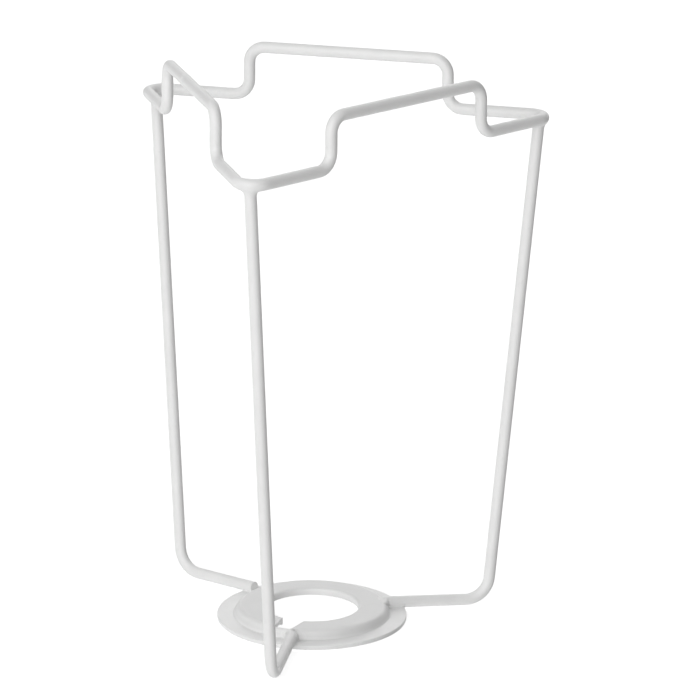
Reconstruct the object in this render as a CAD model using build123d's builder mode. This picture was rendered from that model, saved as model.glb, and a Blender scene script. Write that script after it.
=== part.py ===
"""Wire lampshade carrier: a triangular top loop on three bent legs, welded to a pressed lampholder ring.

Millimetres and degrees, +Z up. The origin is on the axis of the lampholder bore, level with the
lower edge of its lip, which is the edge that the lampholder's shoulder seats against.
"""
from build123d import *
import os
from math import atan2, degrees, pi, radians, sqrt, tan

# ---- driving dimensions: wire ----
wire_d = 3.7            # finished diameter: 3.5 mm wire and 0.1 mm of coating all round
wire_r = wire_d / 2

# ---- driving dimensions: lampholder ring, pressed from sheet ----
sheet_t = 1.4
bore_r = 14.75          # clears the threaded skirt of a 29 mm lampholder
lip_h = 2.4             # turned-down lip of the bore, measured from the plateau's top
plateau_r = 23.1        # sharp corner of plateau and wall
wall_base_r = 24.9      # sharp corner of wall and flange
flange_r = 30.0
plateau_h = 2.8         # plateau's top above the flange's top
lip_edge_r = 0.8        # rounding of the bore's upper edge
bend_inner_r = 0.4      # inside radius of both press bends
coated_edge_r = 0.3     # coating rounds every cut edge

# ---- driving dimensions: slot punched in the plateau ----
slot_azimuth = -98.3
slot_mouth_w = 7.4      # width at the bore
slot_end_w = 5.6        # width at its outer end
slot_end_r = 22.9
slot_corner_r = 1.0

# ---- driving dimensions: top loop ----
loop_side = 135.0       # corner to corner, on the wire's centreline before bending
riser_inset = 35.3      # from each corner to the riser beside it
bar_rise = 15.6         # raised bars above the low corners
corner_bend_r = 5.0
riser_bend_r = 5.0
foot_to_loop = 157.7    # height between the centrelines of a foot and of the low corners

# ---- driving dimensions: legs ----
leg_top_r = 71.9        # leg's centreline at the height of the low corners, from the axis
leg_bend_r = 7.5
spoke_end_r = 25.2
spoke_rise = 1.7        # spokes climb this much from foot to ring, so the carrier stands on its feet
spoke_sink = 0.55       # spokes are pressed this deep into the flange when welded

# ---- driving dimensions: how each leg was set when it was welded ----
foot_r = {"front": 58.6, "right": 58.0, "left": 59.4}   # sharp corner of leg and spoke, from the axis
foot_lead = {"front": 3.2, "right": 0.0, "left": 1.0}   # degrees that the foot is ahead of its corner
end_lead = {"front": 1.2, "right": 0.0, "left": -1.6}   # degrees that the spoke's inner end is ahead of it
end_gap = {"front": 0.0, "right": 0.0, "left": 1.7}     # the left spoke stops short: its sheared end shows

# ---- driving dimensions: welds ----
top_bead_r = 2.3
ring_bead_reach = 3.2   # half length along the spoke
ring_bead_r = 2.1
butt_weld_w = 2.2
butt_weld_proud = 0.25
butt_weld_place = 0.4   # along the raised bar between left and front corners, from the left

# ---- heights that follow from them ----
plateau_top = lip_h
plateau_under = plateau_top - sheet_t
flange_top = plateau_top - plateau_h
flange_under = flange_top - sheet_t
spoke_end_z = flange_top + wire_r - spoke_sink
foot_z = spoke_end_z - spoke_rise
loop_z = foot_z + foot_to_loop
bar_z = loop_z + bar_rise
corner_r = loop_side / sqrt(3)

CORNERS = {"front": -90, "right": 30, "left": 150}


def polar(radius, azimuth, z):
    """A point at this distance from the axis, in this direction, at this height."""
    return Vector(radius, 0, z).rotate(Axis.Z, azimuth)


def across(path):
    """The plane square to the start of a path."""
    return Plane(origin=path @ 0, z_dir=path % 0)


def save(part, name):
    part.label = name
    export_step(part, f"parts/{name}.step")
    print(f"{name:24s} solids {len(part.solids())}  volume {part.volume:9.2f}")


# ---- top loop: three low corners, the middle of each side raised ----
def loop_route():
    """Corner points of the loop's centreline, and the bend radius at each."""
    points = []
    radii = []
    corners = [polar(corner_r, azimuth, loop_z) for azimuth in CORNERS.values()]
    lift = Vector(0, 0, bar_rise)
    for start, end in zip(corners, corners[1:] + corners[:1]):
        inset = (end - start).normalized() * riser_inset
        points += [start, start + inset, start + inset + lift, end - inset + lift, end - inset]
        radii += [corner_bend_r] + [riser_bend_r] * 4
    return points, radii


loop_points, loop_radii = loop_route()
with BuildPart() as top_wire:
    with BuildLine() as loop_line:
        FilletPolyline(*loop_points, radius=loop_radii, close=True)
    with BuildSketch(across(loop_line.line)):
        Circle(wire_r)
    sweep(path=loop_line.line)


# ---- lampholder ring: flange, wall, raised plateau and turned-down bore, with one slot ----
wall_slope = degrees(atan2(plateau_h, wall_base_r - plateau_r))
skin_shift = sheet_t * tan(radians(wall_slope / 2))
bend_outer_r = bend_inner_r + sheet_t

with BuildPart() as lampholder_ring:
    with BuildSketch(Plane.XZ):
        with BuildLine():
            FilletPolyline(
                (bore_r, 0),
                (bore_r, plateau_top),
                (plateau_r, plateau_top),
                (wall_base_r, flange_top),
                (flange_r, flange_top),
                (flange_r, flange_under),
                (wall_base_r - skin_shift, flange_under),
                (plateau_r - skin_shift, plateau_under),
                (bore_r + sheet_t, plateau_under),
                (bore_r + sheet_t, 0),
                radius=[
                    coated_edge_r, lip_edge_r, bend_outer_r, bend_inner_r, coated_edge_r,
                    coated_edge_r, bend_outer_r, bend_inner_r, bend_inner_r, coated_edge_r,
                ],
                close=True,
            )
        make_face()
    revolve(axis=Axis.Z)
    with BuildSketch(Plane.XY.rotated((0, 0, slot_azimuth))) as slot:
        with BuildLine():
            slot_taper = (slot_mouth_w - slot_end_w) / 2 / (slot_end_r - bore_r)
            inner_half_w = slot_mouth_w / 2 + slot_taper * bore_r / 2
            Polyline(
                (bore_r / 2, inner_half_w),
                (slot_end_r, slot_end_w / 2),
                (slot_end_r, -slot_end_w / 2),
                (bore_r / 2, -inner_half_w),
                close=True,
            )
        make_face()
        fillet(slot.vertices().group_by(Axis.Y)[0], slot_corner_r)
    extrude(amount=plateau_top + plateau_h, mode=Mode.SUBTRACT)


# ---- legs: one wire each, coped under its corner, bent at the foot, ending at the ring's wall ----
def leg_points(corner):
    """Top, foot and inner end of one leg's centreline."""
    azimuth = CORNERS[corner]
    top = polar(leg_top_r, azimuth, loop_z)
    foot = polar(foot_r[corner], azimuth + foot_lead[corner], foot_z)
    wall = polar(spoke_end_r, azimuth + end_lead[corner], spoke_end_z)
    end = wall + (foot - wall).normalized() * end_gap[corner]
    return top, foot, end


def leg(corner):
    with BuildPart() as wire:
        with BuildLine() as centreline:
            top, foot, end = leg_points(corner)
            butt = top + (foot - top).normalized() * (wire_r / 2)
            FilletPolyline(butt, foot, end, radius=leg_bend_r)
        with BuildSketch(across(centreline.line)):
            Circle(wire_r)
        sweep(path=centreline.line)
        fillet(wire.faces().sort_by_distance(end)[0].edges(), coated_edge_r)
        add(top_wire.part, mode=Mode.SUBTRACT)
        add(lampholder_ring.part, mode=Mode.SUBTRACT)
    return wire.part


# ---- welds: each bead fills round the wires that it joins and meets them face to face ----
def top_weld(corner, wire):
    with BuildPart() as bead:
        top, foot, _ = leg_points(corner)
        with Locations(top + (foot - top).normalized() * wire_r):
            Sphere(top_bead_r)
        add(top_wire.part, mode=Mode.SUBTRACT)
        add(wire, mode=Mode.SUBTRACT)
    return bead.part


def ring_weld(corner, wire):
    with BuildPart() as bead:
        _, foot, end = leg_points(corner)
        outward = Vector(foot.X - end.X, foot.Y - end.Y, 0).normalized()
        centre = Vector(end.X, end.Y, flange_top + wire_r / 2) - outward * (wire_r / 2)
        with BuildSketch(Plane(origin=centre, x_dir=outward, z_dir=outward.cross(Vector(0, 0, 1)))):
            Ellipse(ring_bead_reach, ring_bead_r)
            split(bisect_by=Plane.XZ)
        revolve(axis=Axis(centre, outward))
        add(wire, mode=Mode.SUBTRACT)
        add(lampholder_ring.part, mode=Mode.SUBTRACT)
        with Locations((0, 0, flange_under)):
            Cone(
                wall_base_r, plateau_r, plateau_h,
                align=(Align.CENTER, Align.CENTER, Align.MIN), mode=Mode.SUBTRACT,
            )
    return bead.part


# ---- butt weld that closes the top loop, a low collar round the wire ----
with BuildPart() as loop_butt_weld:
    left = polar(corner_r, CORNERS["left"], bar_z)
    front = polar(corner_r, CORNERS["front"], bar_z)
    along = (front - left).normalized()
    bar_length = loop_side - 2 * riser_inset
    seat = left + along * (riser_inset + bar_length * butt_weld_place)
    with BuildSketch(Plane(origin=seat, x_dir=along, z_dir=along.cross(Vector(0, 0, 1)))):
        with Locations((0, wire_r)):
            Ellipse(butt_weld_w / 2, butt_weld_proud)
            Rectangle(butt_weld_w, butt_weld_proud * 2, align=(Align.CENTER, Align.MAX), mode=Mode.SUBTRACT)
    revolve(axis=Axis(seat, along))


# ---- files ----
os.makedirs("parts", exist_ok=True)
save(top_wire.part, "top_wire")
save(lampholder_ring.part, "lampholder_ring")
for corner in CORNERS:
    wire = leg(corner)
    save(wire, f"leg_{corner}")
    save(top_weld(corner, wire), f"top_weld_{corner}")
    save(ring_weld(corner, wire), f"ring_weld_{corner}")
save(loop_butt_weld.part, "loop_butt_weld")

loop_length = loop_line.wires()[0].length
print(f"loop wire {loop_length:.1f} long, volume by length {pi * wire_r**2 * loop_length:.1f}")
print(f"height {bar_z + wire_r - min(flange_under, foot_z - wire_r):.2f}")
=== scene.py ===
"""Coated-wire lampshade carrier: finish, weld beads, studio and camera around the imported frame.

Metres, +Z up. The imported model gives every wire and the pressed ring. This script coats them, grows
the weld beads over the joints, and sets the camera and lights.
"""
import math

import bmesh
import bpy
import numpy
from mathutils import Matrix, Vector, noise
from mathutils.bvhtree import BVHTree


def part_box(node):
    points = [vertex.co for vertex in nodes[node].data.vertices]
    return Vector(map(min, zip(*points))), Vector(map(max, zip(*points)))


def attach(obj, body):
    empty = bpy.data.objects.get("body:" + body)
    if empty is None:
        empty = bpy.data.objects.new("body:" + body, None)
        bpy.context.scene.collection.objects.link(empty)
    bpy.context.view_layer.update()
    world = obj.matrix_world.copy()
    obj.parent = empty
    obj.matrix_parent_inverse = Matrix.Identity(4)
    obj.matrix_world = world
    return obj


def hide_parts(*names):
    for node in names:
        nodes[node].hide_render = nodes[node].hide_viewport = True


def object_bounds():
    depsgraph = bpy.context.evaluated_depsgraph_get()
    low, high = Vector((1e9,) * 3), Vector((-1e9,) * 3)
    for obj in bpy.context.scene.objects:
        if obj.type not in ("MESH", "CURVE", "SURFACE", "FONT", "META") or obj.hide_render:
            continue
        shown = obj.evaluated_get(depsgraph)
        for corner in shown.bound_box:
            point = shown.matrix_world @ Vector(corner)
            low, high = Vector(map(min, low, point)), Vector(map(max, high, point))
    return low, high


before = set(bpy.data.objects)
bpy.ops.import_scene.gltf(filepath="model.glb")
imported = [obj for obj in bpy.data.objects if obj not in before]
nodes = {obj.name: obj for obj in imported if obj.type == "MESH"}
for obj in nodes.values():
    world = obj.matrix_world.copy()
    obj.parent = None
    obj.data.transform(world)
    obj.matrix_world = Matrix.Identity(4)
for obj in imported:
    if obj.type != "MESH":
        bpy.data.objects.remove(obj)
cad_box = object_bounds()
MM = 0.001
CORNERS = ("front", "right", "left")


# ---- powder coat: a mottled satin white with orange peel, dust nibs and thin spots ----
MOTTLE_SIZE = 9 * MM
MOTTLE_TONE = 0.965
THIN_SPOT_SIZE = 2.2 * MM
THIN_SPOT_TONE = 0.93
GLOSS_SIZE = 5 * MM
NIB_SIZE = 0.8 * MM
NIB_HEIGHT = 1.5        # in peel depths


def add(tree, kind, **sockets):
    """One shader node, with constants or output sockets put on its inputs."""
    node = tree.nodes.new(kind)
    for name, value in sockets.items():
        socket = node.inputs[name.replace("_", " ")]
        if isinstance(value, bpy.types.NodeSocket):
            tree.links.new(value, socket)
        else:
            socket.default_value = value
    return node


def noise_value(tree, place, size, detail=2.0, roughness=0.5):
    """Noise whose features are about this many metres across."""
    node = add(tree, "ShaderNodeTexNoise", Vector=place, Scale=1 / size, Detail=detail, Roughness=roughness)
    return node.outputs["Fac"]


def remap(tree, value, low, high, to_low, to_high):
    node = add(
        tree, "ShaderNodeMapRange",
        Value=value, From_Min=low, From_Max=high, To_Min=to_low, To_Max=to_high,
    )
    return node.outputs["Result"]


def mix(tree, factor, a, b, blend="MIX"):
    """Two colours mixed; each of factor, a and b is a constant or an output socket."""
    node = tree.nodes.new("ShaderNodeMix")
    node.data_type = "RGBA"
    node.blend_type = blend
    for name, value in (("Factor", factor), ("A", a), ("B", b)):
        if isinstance(value, bpy.types.NodeSocket):
            tree.links.new(value, node.inputs[name])
        else:
            node.inputs[name].default_value = value
    return node.outputs["Result"]


def times(colour, share):
    """A colour dimmed to this share, with alpha 1."""
    return (*(channel * share for channel in colour), 1)


def coating(name, colour, peel_size, peel_depth, roughness=(0.36, 0.50), painted_light_by_height=()):
    """Satin powder coat. The peel is its ripple: this far from crest to crest and this deep, in metres.

    The heights and tones given here, as (height, tone) going up, are painted light and shade on a pressed
    part: the coat is made lighter or darker where light falls more or less, not changed in itself.
    """
    made = bpy.data.materials.new(name)
    made.use_nodes = True
    tree = made.node_tree
    shader = tree.nodes["Principled BSDF"]
    place = add(tree, "ShaderNodeTexCoord").outputs["Object"]

    mottle = remap(tree, noise_value(tree, place, MOTTLE_SIZE, 3), 0.3, 0.7, 0.0, 1.0)
    thin = remap(tree, noise_value(tree, place, THIN_SPOT_SIZE, 4, 0.62), 0.60, 0.78, 0.0, 1.0)
    mottled = mix(tree, mottle, times(colour, MOTTLE_TONE), times(colour, 1))
    painted = mix(tree, thin, mottled, times(colour, THIN_SPOT_TONE))
    # painted light and shade: the coat is multiplied by a tone that depends on height
    if painted_light_by_height:
        lowest, highest = painted_light_by_height[0][0], painted_light_by_height[-1][0]
        level = add(tree, "ShaderNodeSeparateXYZ", Vector=place).outputs["Z"]
        painted_light_ramp = add(tree, "ShaderNodeValToRGB", Fac=remap(tree, level, lowest, highest, 0.0, 1.0))
        stops = painted_light_ramp.color_ramp.elements
        while len(stops) < len(painted_light_by_height):
            stops.new(0.5)
        for stop, (height, tone) in zip(stops, painted_light_by_height):
            stop.position = (height - lowest) / (highest - lowest)
            stop.color = (tone, tone, tone, 1)
        painted = mix(tree, 1.0, painted, painted_light_ramp.outputs["Color"], "MULTIPLY")
    tree.links.new(painted, shader.inputs["Base Color"])

    gloss = remap(tree, noise_value(tree, place, GLOSS_SIZE, 3), 0.25, 0.75, *roughness)
    tree.links.new(gloss, shader.inputs["Roughness"])
    shader.inputs["IOR"].default_value = 1.5
    shader.inputs["Coat Weight"].default_value = 0.12
    shader.inputs["Coat Roughness"].default_value = 0.28

    peel = noise_value(tree, place, peel_size, 1.5)
    nibs = remap(tree, noise_value(tree, place, NIB_SIZE, 0), 0.70, 0.95, 0.0, 1.0)
    relief = add(tree, "ShaderNodeMath")
    relief.operation = "MULTIPLY_ADD"
    tree.links.new(nibs, relief.inputs[0])
    relief.inputs[1].default_value = NIB_HEIGHT
    tree.links.new(peel, relief.inputs[2])
    bump = add(tree, "ShaderNodeBump", Height=relief.outputs[0], Strength=1.0, Distance=peel_depth)
    tree.links.new(bump.outputs["Normal"], shader.inputs["Normal"])
    return made


WIRE_COAT = coating("wire_powder_coat", (0.86, 0.86, 0.855), 1.3 * MM, 0.03 * MM)
RING_COAT = coating(
    "ring_powder_coat", (0.90, 0.90, 0.895), 1.6 * MM, 0.03 * MM,
    roughness=(0.30, 0.38),
    # painted light and shade by height: a painted highlight on the plateau's rounded edge, and painted shade
    # on the wall and on the plateau's top; the flange is kept brightest
    painted_light_by_height=((-0.3 * MM, 0.98), (0.6 * MM, 0.90), (1.9 * MM, 0.95), (2.33 * MM, 0.95), (2.40 * MM, 0.84)),
)
WELD_COAT = coating("weld_powder_coat", (0.86, 0.86, 0.855), 1.2 * MM, 0.03 * MM)


def dress(piece, material):
    piece.data.materials.clear()
    piece.data.materials.append(material)


dress(nodes["top_wire"], WIRE_COAT)
dress(nodes["lampholder_ring"], RING_COAT)
for corner in CORNERS:
    dress(nodes[f"leg_{corner}"], WIRE_COAT)


# ---- weld beads, grown as a smooth union of the parts that they join ----
SAME_PLACE = 0.0002 * MM    # vertices nearer than this are one
FACE_IS_SURE = 0.9          # share of the gap that lies along a face's normal when the face alone will do


def solid_of(piece):
    """Signed distance to a closed mesh, in metres, negative inside.

    Where the nearest place is on a sharp edge, either face alone could give the wrong sign, so edges and
    corners have normals of their own.
    """
    shell = bmesh.new()
    shell.from_mesh(piece.data)
    bmesh.ops.remove_doubles(shell, verts=shell.verts, dist=SAME_PLACE)
    bmesh.ops.dissolve_degenerate(shell, dist=SAME_PLACE, edges=shell.edges)
    bmesh.ops.triangulate(shell, faces=shell.faces)
    shell.normal_update()
    shell.faces.index_update()
    tree = BVHTree.FromBMesh(shell)
    corners = [[(c.vert.co.copy(), c.vert.normal.copy()) for c in face.loops] for face in shell.faces]
    edges = [
        [sum((beside.normal for beside in c.edge.link_faces), Vector()) for c in face.loops]
        for face in shell.faces
    ]
    shell.free()

    def facing(index, hit):
        triangle = corners[index]
        for place, corner_normal in triangle:
            if (hit - place).length < SAME_PLACE:
                return corner_normal
        sides = zip(triangle, triangle[1:] + triangle[:1], edges[index])
        _, edge_normal = min(
            (
                ((hit - start).cross(end - start).length / (end - start).length, edge_normal)
                for (start, _), (end, _), edge_normal in sides
            ),
            key=lambda side: side[0],
        )
        return edge_normal

    def distance(point):
        hit, normal, index, gap = tree.find_nearest(point)
        offset = point - hit
        side = offset.dot(normal)
        if abs(side) < FACE_IS_SURE * gap:
            side = offset.dot(facing(index, hit))
        return math.copysign(gap, side)

    return distance


def smooth_min(a, b, width):
    """The lesser of two distances, rounded over where they are closer than width."""
    blend = max(width - abs(a - b), 0.0) / width
    return min(a, b) - blend ** 3 * width / 6


def fade(value, start, end):
    """1 up to start, 0 from end on, smooth between them."""
    share = min(max((value - start) / (end - start), 0.0), 1.0)
    return 1 - share * share * (3 - 2 * share)


def lumps(point, size, seed):
    """Smooth unevenness from about -1 to 1, with lumps of this size."""
    return noise.noise(point / size + Vector((seed, 0, 0)))


def along_axis(axis, window):
    """An index that takes this window on one axis and everything on the other two."""
    return tuple(window if number == axis else slice(None) for number in range(3))


def skin_of(values):
    """Surface net of a grid of distances: its points, in grid steps, and its outward quads."""
    cells = values.shape[0] - 1
    total = numpy.zeros((cells, cells, cells, 3))
    hits = numpy.zeros((cells, cells, cells))
    crossings = []
    for axis in range(3):
        low = values[along_axis(axis, slice(0, cells))]
        high = values[along_axis(axis, slice(1, cells + 1))]
        crossed = (low < 0) != (high < 0)
        crossings.append((axis, crossed, low < 0))
        place = numpy.moveaxis(numpy.indices(low.shape), 0, -1).astype(float)
        place[..., axis] += numpy.where(crossed, low / numpy.where(crossed, low - high, 1.0), 0.0)
        place *= crossed[..., None]
        for beside in ((0, 0), (1, 0), (0, 1), (1, 1)):
            window = [slice(0, cells)] * 3
            for other, step in zip(((axis + 1) % 3, (axis + 2) % 3), beside):
                window[other] = slice(step, step + cells)
            total += place[tuple(window)]
            hits += crossed[tuple(window)]
    used = hits > 0
    number = numpy.full(hits.shape, -1)
    number[used] = numpy.arange(used.sum())
    quads = []
    for axis, crossed, inside_low in crossings:
        ahead = numpy.eye(3, dtype=int)[(axis + 1) % 3]
        aside = numpy.eye(3, dtype=int)[(axis + 2) % 3]
        edges = numpy.argwhere(crossed)
        ring_of_cells = [edges - ahead - aside, edges - aside, edges, edges - ahead]
        quad = numpy.stack([number[tuple(cell.T)] for cell in ring_of_cells], 1)
        backward = ~inside_low[tuple(edges.T)]
        quad[backward] = quad[backward][:, ::-1]
        quads.append(quad)
    return total[used] / hits[used][:, None], numpy.concatenate(quads)


def grow(name, centre, reach, field, cell):
    """A closed piece where field is negative within reach of centre, from a grid with cells of this size."""
    count = 2 * math.ceil(reach / cell) + 3
    middle = (count - 1) / 2
    steps = [(number - middle) * cell for number in range(count)]
    values = numpy.empty((count, count, count))
    for spot in numpy.ndindex(values.shape):
        offset = Vector([steps[number] for number in spot])
        beyond = offset.length - reach
        values[spot] = beyond if beyond > 0 else max(field(centre + offset), beyond)
    points, quads = skin_of(values)
    mesh = bpy.data.meshes.new(name)
    corners = [centre + Vector(point) * cell for point in points - middle]
    mesh.from_pydata(corners, [], quads.tolist())
    mesh.shade_smooth()
    piece = bpy.data.objects.new(name, mesh)
    bpy.context.scene.collection.objects.link(piece)
    return piece


def weld(node, centre, reach, field, cell=0.16 * MM):
    """A grown bead that stands for a CAD bead."""
    bead = grow(f"{node}_bead", centre, reach, field, cell)
    dress(bead, WELD_COAT)
    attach(bead, "root")
    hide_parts(node)


def middle_of(node):
    low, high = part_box(node)
    return (Vector(low) + Vector(high)) / 2


WIRE_R = 1.85 * MM
RIM_SUNK = 0.02 * MM    # a bead's rim dives this far under the parts, so that it leaves no step

loop = solid_of(nodes["top_wire"])
ring = solid_of(nodes["lampholder_ring"])
legs = {corner: solid_of(nodes[f"leg_{corner}"]) for corner in CORNERS}
loop_axis_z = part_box("top_wire")[0][2] + WIRE_R


# ---- top welds ----
TOP_REACH = 4.8 * MM
TOP_SINK = 0.4 * MM     # the bead's centre is this far under the loop's axis, inside both wires
TOP_FILLET = 2.8 * MM
TOP_PROUD = 0.02 * MM
TOP_LUMP_SIZE = 1.8 * MM
TOP_LUMP_HEIGHT = 0.015 * MM
SEED_STEP = 5.3         # beads this far apart in the noise are unlike each other


def top_field(leg, seam, seed):
    """Leg and loop run together in a fillet, with the coating pooled a little proud of both."""
    def field(point):
        near = fade((point - seam).length, 2.0 * MM, 5.0 * MM)
        proud = (TOP_PROUD + RIM_SUNK) * near - RIM_SUNK
        uneven = TOP_LUMP_HEIGHT * lumps(point, TOP_LUMP_SIZE, seed) * near
        return smooth_min(leg(point), loop(point), TOP_FILLET) - proud - uneven

    return field


for seed, corner in enumerate(CORNERS):
    seam = middle_of(f"top_weld_{corner}")
    inside_both = Vector((seam.x, seam.y, loop_axis_z - TOP_SINK))
    weld(f"top_weld_{corner}", inside_both, TOP_REACH, top_field(legs[corner], seam, seed * SEED_STEP))


# ---- ring welds ----
# where each spoke's weld metal gathered, in millimetres:
# outward from the spoke's end, aside of it, above the flange, and size
NUGGETS = {
    "front": ((-1.2, -0.5, 2.5, 0.8), (-0.6, -1.4, 1.0, 1.0), (0.0, -1.8, 0.2, 0.7)),
    "right": ((-0.9, -0.4, 1.9, 1.25), (-1.5, -1.9, 1.7, 0.9), (-1.9, -3.0, 2.0, 0.6), (-0.6, 1.2, 0.9, 1.0)),
    "left": ((0.9, -1.3, 0.1, 0.9), (0.2, 1.4, 0.0, 0.7)),
}
SPOKE_END_R = {"front": 25.2 * MM, "right": 25.2 * MM, "left": 26.9 * MM}
SHEET_T = 1.4 * MM
PLATEAU_H = 2.8 * MM
WALL_TOP_R = 23.1 * MM
WALL_FOOT_R = 24.9 * MM
RING_REACH = 5.0 * MM
RING_FILLET = 1.3 * MM
NUGGET_FILLET = 1.1 * MM
RING_PROUD = 0.05 * MM
RING_LUMP_SIZE = 1.1 * MM
RING_LUMP_HEIGHT = 0.08 * MM
RING_FIRST_SEED = 20
ring_underside_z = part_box("lampholder_ring")[0][2]
flange_mid = ring_underside_z + SHEET_T / 2
flange_top = ring_underside_z + SHEET_T


def under_sheet(point):
    """How far a point is below the middle of the ring's sheet: beads stop there, unseen."""
    reach = math.hypot(point.x, point.y)
    climb = min(max((WALL_FOOT_R - reach) / (WALL_FOOT_R - WALL_TOP_R), 0.0), 1.0)
    return flange_mid + PLATEAU_H * climb - point.z


def ring_field(leg, end, outward, nuggets, seed):
    """Spoke and ring run together in a small fillet, with lumps of weld metal round the spoke's end."""
    aside = Vector((-outward.y, outward.x, 0))
    lumps_of_metal = [
        (end + outward * along * MM + aside * across * MM + Vector((0, 0, flange_top + up * MM)), size * MM)
        for along, across, up, size in nuggets
    ]

    def field(point):
        near = fade((point - end - Vector((0, 0, flange_top))).length, 2.6 * MM, 5.4 * MM)
        proud = (RING_PROUD + RIM_SUNK) * near - RIM_SUNK
        skin = smooth_min(leg(point), ring(point), RING_FILLET)
        for place, size in lumps_of_metal:
            skin = smooth_min(skin, (point - place).length - size, NUGGET_FILLET)
        uneven = RING_LUMP_HEIGHT * lumps(point, RING_LUMP_SIZE, seed) * near
        return max(skin - proud - uneven, under_sheet(point))

    return field


for seed, corner in enumerate(CORNERS):
    node = f"ring_weld_{corner}"
    bead_low, bead_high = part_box(node)
    outward = Vector((bead_low[0] + bead_high[0], bead_low[1] + bead_high[1], 0)).normalized()
    end = outward * SPOKE_END_R[corner]
    field = ring_field(legs[corner], end, outward, NUGGETS[corner], RING_FIRST_SEED + seed * SEED_STEP)
    centre = end + outward * 0.6 * MM + Vector((0, 0, flange_top + 1.0 * MM))
    weld(node, centre, RING_REACH, field)


# ---- the loop's butt weld ----
BUTT_REACH = 2.6 * MM
BUTT_CELL = 0.1 * MM
BUTT_HEIGHT = 0.22 * MM
BUTT_LUMP_SIZE = 0.9 * MM
BUTT_SEED = 40


def butt_field(centre, along, seed):
    """A low flash round the loop's butt joint, higher on one side of the wire than on the other."""
    lean = along.cross(Vector((0, 0, 1)))

    def field(point):
        offset = point - centre
        place = offset.dot(along)
        out = (offset - along * place).normalized()
        ridge = fade(-place, 0.1 * MM, 0.9 * MM) * fade(place, 0.1 * MM, 1.0 * MM)
        heavy = 0.62 + 0.38 * out.dot(lean)
        height = BUTT_HEIGHT * heavy * (1 + 0.3 * lumps(point, BUTT_LUMP_SIZE, seed))
        return loop(point) + RIM_SUNK - (height + RIM_SUNK) * ridge

    return field


left_to_front = Vector((0.5, -math.sqrt(3) / 2, 0))
butt = middle_of("loop_butt_weld")
weld("loop_butt_weld", butt, BUTT_REACH, butt_field(butt, left_to_front, BUTT_SEED), BUTT_CELL)


# ---- studio: pale floor, soft light, camera ----
FLOOR_HALF_SIZE = 6.0
floor_mesh = bpy.data.meshes.new("floor")
outline = bmesh.new()
bmesh.ops.create_grid(outline, x_segments=8, y_segments=8, size=FLOOR_HALF_SIZE)
outline.to_mesh(floor_mesh)
outline.free()
floor = bpy.data.objects.new("floor", floor_mesh)
floor.location.z = cad_box[0].z
bpy.context.scene.collection.objects.link(floor)
paper = bpy.data.materials.new("floor_paper")
paper.use_nodes = True
paper_shader = paper.node_tree.nodes["Principled BSDF"]
paper_shader.inputs["Base Color"].default_value = (0.9, 0.9, 0.9, 1)
paper_shader.inputs["Roughness"].default_value = 0.9
paper_shader.inputs["Emission Color"].default_value = (1, 1, 1, 1)
paper_shader.inputs["Emission Strength"].default_value = 0.5
floor.data.materials.append(paper)
floor.visible_diffuse = False
floor.visible_glossy = False
floor.visible_shadow = False

TARGET = Vector((0, 0, 77.2 * MM))


def bearing(azimuth, elevation):
    """Unit vector from the object towards a camera or lamp. Azimuth 0 is -Y, and 90 is +X."""
    a, e = math.radians(azimuth), math.radians(elevation)
    return Vector((math.sin(a) * math.cos(e), -math.cos(a) * math.cos(e), math.sin(e)))


def softbox(name, azimuth, elevation, power):
    data = bpy.data.lights.new(name, "AREA")
    data.shape = "DISK"
    data.size = WALL_SIZE
    data.energy = power
    lamp = bpy.data.objects.new(name, data)
    lamp.visible_camera = False
    direction = bearing(azimuth, elevation)
    lamp.location = TARGET + direction * WALL_DISTANCE
    lamp.rotation_mode = "QUATERNION"
    lamp.rotation_quaternion = direction.to_track_quat("Z", "Y")
    bpy.context.scene.collection.objects.link(lamp)


# a light tent: big glowing walls round the object and a glowing table under it, dimmest to the right;
# azimuth and elevation in degrees, power in watts
WALL_SIZE = 2.4
WALL_DISTANCE = 2.0
TENT = {
    "front_left_wall": (-15, 30, 23.5),
    "front_wall": (0, 0, 15.0),
    "left_wall": (-90, 30, 4.0),
    "left_wall_low": (-115, -25, 12.0),
    "back_wall_high": (180, 50, 8.0),
    "back_wall": (180, 10, 15.0),
    "back_wall_low": (180, -35, 10.0),
    "right_wall_low": (90, -40, 2.0),
    "table_glow": (0, -80, 17.0),
}
for name, (azimuth, elevation, power) in TENT.items():
    softbox(name, azimuth, elevation, power)

world = bpy.data.worlds.new("studio")
bpy.context.scene.world = world
world.use_nodes = True
sky = world.node_tree.nodes["Background"]
sky.inputs["Color"].default_value = (1, 1, 1, 1)
sky.inputs["Strength"].default_value = 0.22

CAMERA_AZIMUTH = 14.57      # degrees
CAMERA_ELEVATION = 16.6
CAMERA_ROLL = math.radians(0.57)
CAMERA_DISTANCE = 1241.8 * MM
CAMERA_ASIDE = -11.34 * MM
CAMERA_ABOVE = -8.79 * MM
FOCAL_PIXELS = 3989.2
FRAME_PIXELS = 700

camera_data = bpy.data.cameras.new("camera")
camera_data.sensor_width = 36.0
camera_data.lens = FOCAL_PIXELS / FRAME_PIXELS * camera_data.sensor_width
camera_data.clip_start = 0.05
camera_data.clip_end = 50.0
camera = bpy.data.objects.new("camera", camera_data)
bpy.context.scene.collection.objects.link(camera)
back = bearing(CAMERA_AZIMUTH, CAMERA_ELEVATION)
level = Vector((math.cos(math.radians(CAMERA_AZIMUTH)), math.sin(math.radians(CAMERA_AZIMUTH)), 0))
steep = back.cross(level)
right = level * math.cos(CAMERA_ROLL) + steep * math.sin(CAMERA_ROLL)
up = steep * math.cos(CAMERA_ROLL) - level * math.sin(CAMERA_ROLL)
camera.rotation_mode = "QUATERNION"
camera.rotation_quaternion = Matrix((right, up, back)).transposed().to_quaternion()
camera.location = TARGET + back * CAMERA_DISTANCE - right * CAMERA_ASIDE - up * CAMERA_ABOVE
bpy.context.scene.camera = camera
bpy.context.scene.view_settings.view_transform = "Standard"
